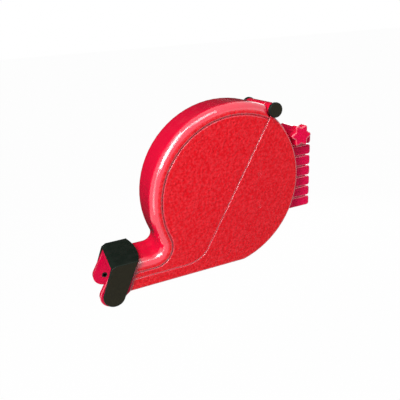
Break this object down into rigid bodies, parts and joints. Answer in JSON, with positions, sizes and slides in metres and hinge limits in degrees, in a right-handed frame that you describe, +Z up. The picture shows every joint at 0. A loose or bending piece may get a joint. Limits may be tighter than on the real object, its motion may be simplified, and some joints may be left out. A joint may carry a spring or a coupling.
{
  "type": "queue ticket dispenser",
  "caption": "Snail-shaped housing that holds a roll of numbered tickets, with a hinged cover, a clipped mouth and a ribbed mounting rack.",
  "frame": {"origin": "on the crest of the mounting rack's middle rib, at mid width, where a wall or stand holds it", "axes": "-X towards the mouth, +X towards the mounting rack, Y along the width, +Z up"},
  "size_m": [0.2662, 0.061, 0.1929],
  "materials": {
    "red_plastic": "gloss with fine grained faces",
    "black_plastic": "satin",
    "grey_plastic": "satin",
    "steel": "plated",
    "brass": "turned",
    "rubber": "matte",
    "paper": "matte",
    "cardboard": "matte"
  },
  "bodies": {
    "base": {"base_shell": "red_plastic", "hinge_pin": "steel", "hinge_cap_near": "black_plastic", "hinge_cap_far": "black_plastic", "cradle_near": "grey_plastic", "cradle_far": "grey_plastic", "cradle_screw_1": "steel", "cradle_screw_2": "steel", "cradle_screw_3": "steel", "cradle_screw_4": "steel", "spindle": "steel", "guide_axle": "steel", "lower_guide": "red_plastic", "ticket_web": "paper", "mount_rack": "red_plastic", "rack_screw_1": "steel", "rack_screw_2": "steel", "clamp_bolt": "steel"},
    "cover": {"cover_shell": "red_plastic", "mouth_nose": "red_plastic", "mouth_clip": "black_plastic", "eyelet_near": "steel", "eyelet_far": "steel", "tear_blade": "steel", "blade_screw_1": "steel", "blade_screw_2": "steel", "brake_spring": "steel", "spring_screw": "steel"},
    "roll": {"ticket_roll": "paper", "roll_core": "cardboard", "roll_hub": "grey_plastic"},
    "roller": {"guide_roller": "rubber"},
    "knob": {"star_knob": "red_plastic", "knob_insert": "brass"}
  },
  "joints": [
    {"name": "cover_hinge", "type": "hinge", "parent": "base", "child": "cover", "pos_m": [-0.057, 0, 0.0799], "axis": [0, 1, 0], "range_deg": [0, 100]},
    {"name": "roll_spin", "type": "hinge", "parent": "base", "child": "roll", "pos_m": [-0.1135, 0, 0], "axis": [0, 1, 0], "continuous": true},
    {"name": "roller_spin", "type": "hinge", "parent": "base", "child": "roller", "pos_m": [-0.1915, 0, -0.0801], "axis": [0, 1, 0], "continuous": true},
    {"name": "knob_turn", "type": "hinge", "parent": "base", "child": "knob", "pos_m": [-0.0195, 0, 0.046], "axis": [0, -1, 0], "continuous": true}
  ]
}
